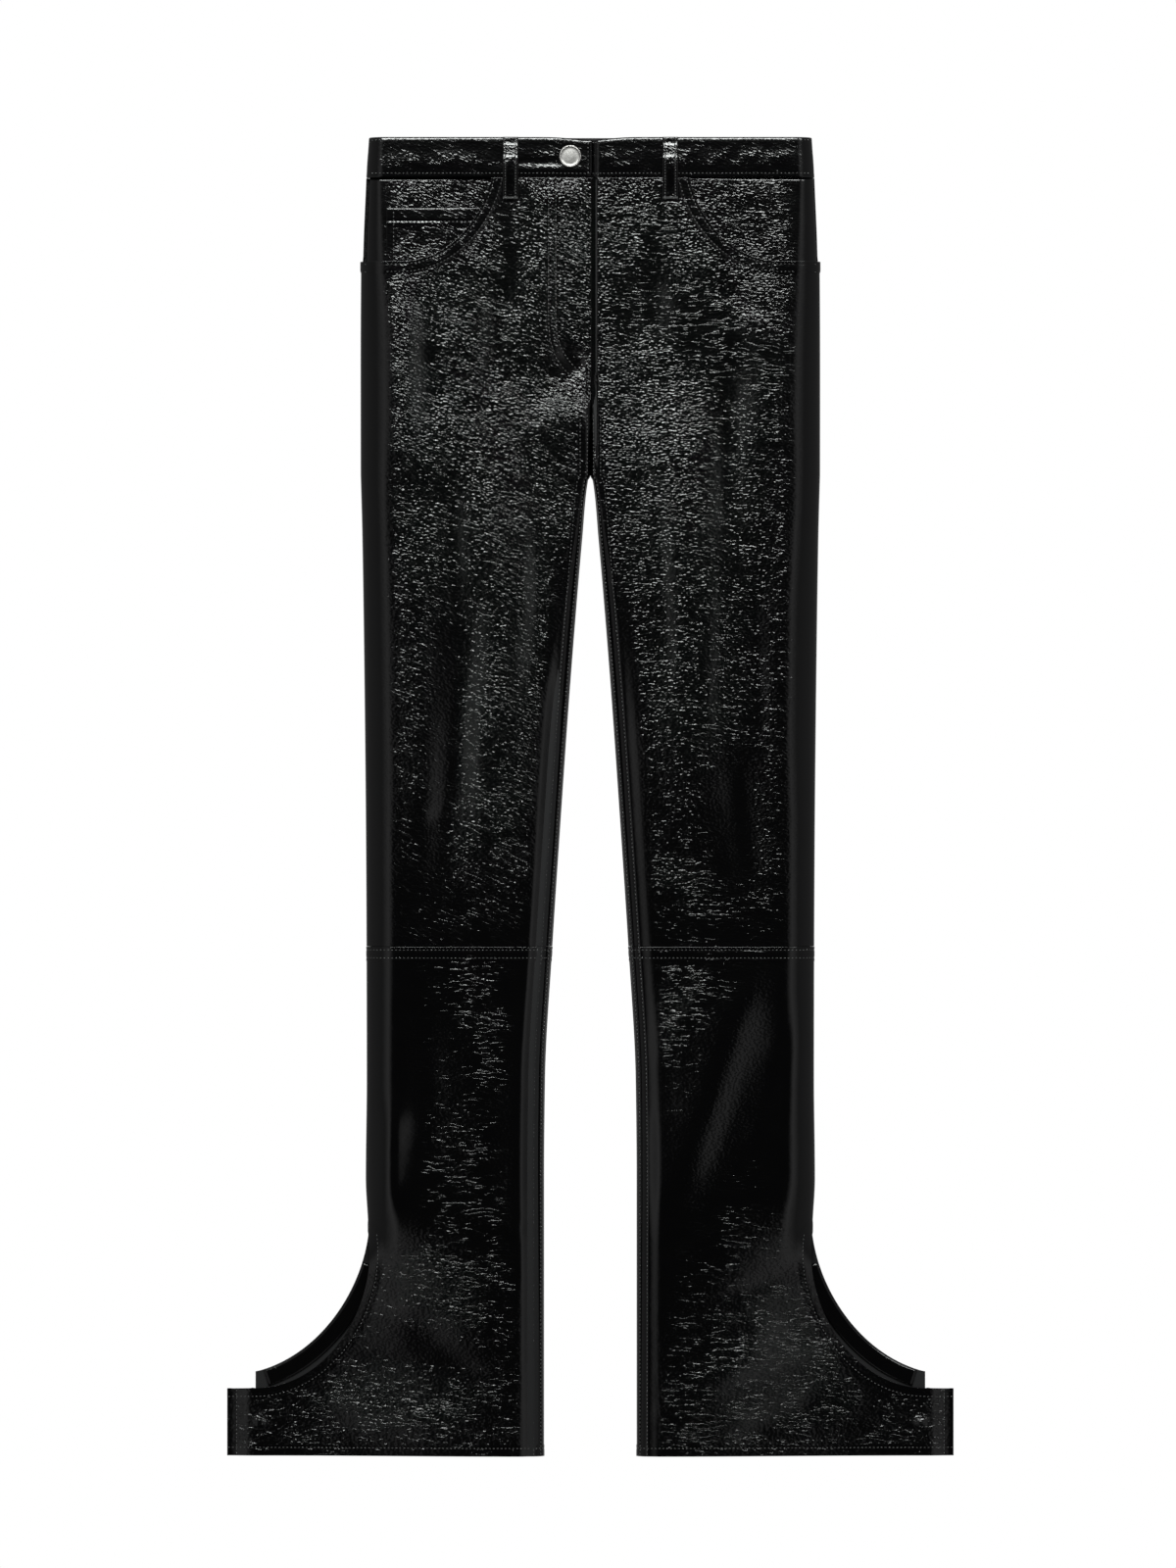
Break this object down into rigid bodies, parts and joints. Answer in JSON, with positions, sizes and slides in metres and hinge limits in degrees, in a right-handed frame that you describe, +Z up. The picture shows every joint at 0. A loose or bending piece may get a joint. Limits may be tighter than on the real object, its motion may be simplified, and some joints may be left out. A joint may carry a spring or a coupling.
{
  "type": "trousers",
  "caption": "Straight-leg five-pocket trousers in black crinkled patent leather, laid flat, with a cut-out over each outer ankle and a long tab along the hem.",
  "frame": {"origin": "centre of the bounding box in X and Y, on the surface that the trousers lie on", "axes": "+Y from the hems to the waist, +Z up out of the front of the trousers, +X to the wearer's left leg"},
  "size_m": [0.615, 1.115, 0.0317],
  "materials": {
    "leather": "black crinkled patent leather, glossy",
    "button_metal": "pale brushed metal",
    "zip_tape": "black woven tape, matt"
  },
  "bodies": {
    "root": {"thigh_front_right": "leather", "thigh_front_left": "leather", "shin_front_right": "leather", "shin_front_left": "leather", "thigh_back_right": "leather", "thigh_back_left": "leather", "calf_back_right": "leather", "calf_back_left": "leather", "pocket_bearer_right": "leather", "pocket_bearer_left": "leather", "waistband_front_right": "leather", "waistband_front_left": "leather", "belt_loop_front_right": "leather", "belt_loop_front_left": "leather", "belt_loop_back_right": "leather", "belt_loop_back_left": "leather", "cutout_facing_right": "leather", "cutout_facing_left": "leather", "tab_stud_right": "leather", "tab_stud_left": "leather", "belt_loop_back_centre": "leather", "waistband_back": "leather", "coin_pocket": "leather", "button": "button_metal", "zip": "zip_tape"}
  },
  "joints": []
}
